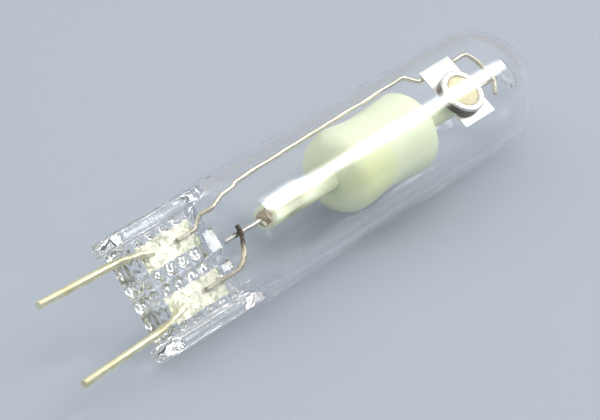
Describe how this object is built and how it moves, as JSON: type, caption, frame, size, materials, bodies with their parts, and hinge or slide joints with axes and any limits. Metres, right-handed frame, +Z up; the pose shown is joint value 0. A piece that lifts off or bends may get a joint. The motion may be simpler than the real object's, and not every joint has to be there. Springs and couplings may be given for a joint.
{
  "type": "discharge lamp",
  "caption": "Single-ended high-pressure discharge lamp: clear quartz capsule with a waffled pinch and contact pins, translucent ceramic arc tube inside, frame wires and a getter cup.",
  "frame": {"origin": "centre of the bounding box, on the floor that the tube lies on", "axes": "+X along the lamp from the pins to the exhaust tip, +Z up; the pinch is turned 50 degrees about X"},
  "size_m": [0.0772, 0.0144, 0.0144],
  "materials": {
    "quartz": "clear fused quartz, fire-polished on the tube and stippled by the jaws on the pinch",
    "alumina": "translucent sintered alumina ceramic",
    "frit": "sealing frit, a fused ceramic glass, glossy",
    "pin_nickel": "drawn nickel-coloured wire, slightly tarnished",
    "wire_steel": "bright drawn wire",
    "molybdenum": "rolled molybdenum, satin",
    "niobium": "bright niobium rod",
    "tungsten": "drawn tungsten, grey",
    "plated_strip": "nickel-plated pressed strip, bright",
    "getter_powder": "pressed porous getter powder, pale yellow",
    "mercury": "liquid mercury bead",
    "salt": "frozen metal halide salt"
  },
  "bodies": {
    "root": {"arc_tube_body": "alumina", "capillary_dome_side": "alumina", "capillary_pin_side": "alumina", "contact_pin_1": "pin_nickel", "contact_pin_2": "pin_nickel", "electrode_coil_dome_side": "tungsten", "electrode_coil_pin_side": "tungsten", "electrode_dome_side": "tungsten", "electrode_pin_side": "tungsten", "frame_wire": "wire_steel", "frit_seal_dome_side": "frit", "frit_seal_pin_side": "frit", "getter_cup": "plated_strip", "getter_fill": "getter_powder", "getter_plate": "plated_strip", "halide_salt": "salt", "mercury_bead": "mercury", "molybdenum_mandrel_dome_side": "molybdenum", "molybdenum_mandrel_pin_side": "molybdenum", "molybdenum_overwind_dome_side": "molybdenum", "molybdenum_overwind_pin_side": "molybdenum", "niobium_lead_dome_side": "niobium", "niobium_lead_pin_side": "niobium", "outer_bulb": "quartz", "seal_foil_1": "molybdenum", "seal_foil_2": "molybdenum", "short_lead_wire": "wire_steel"}
  },
  "joints": []
}
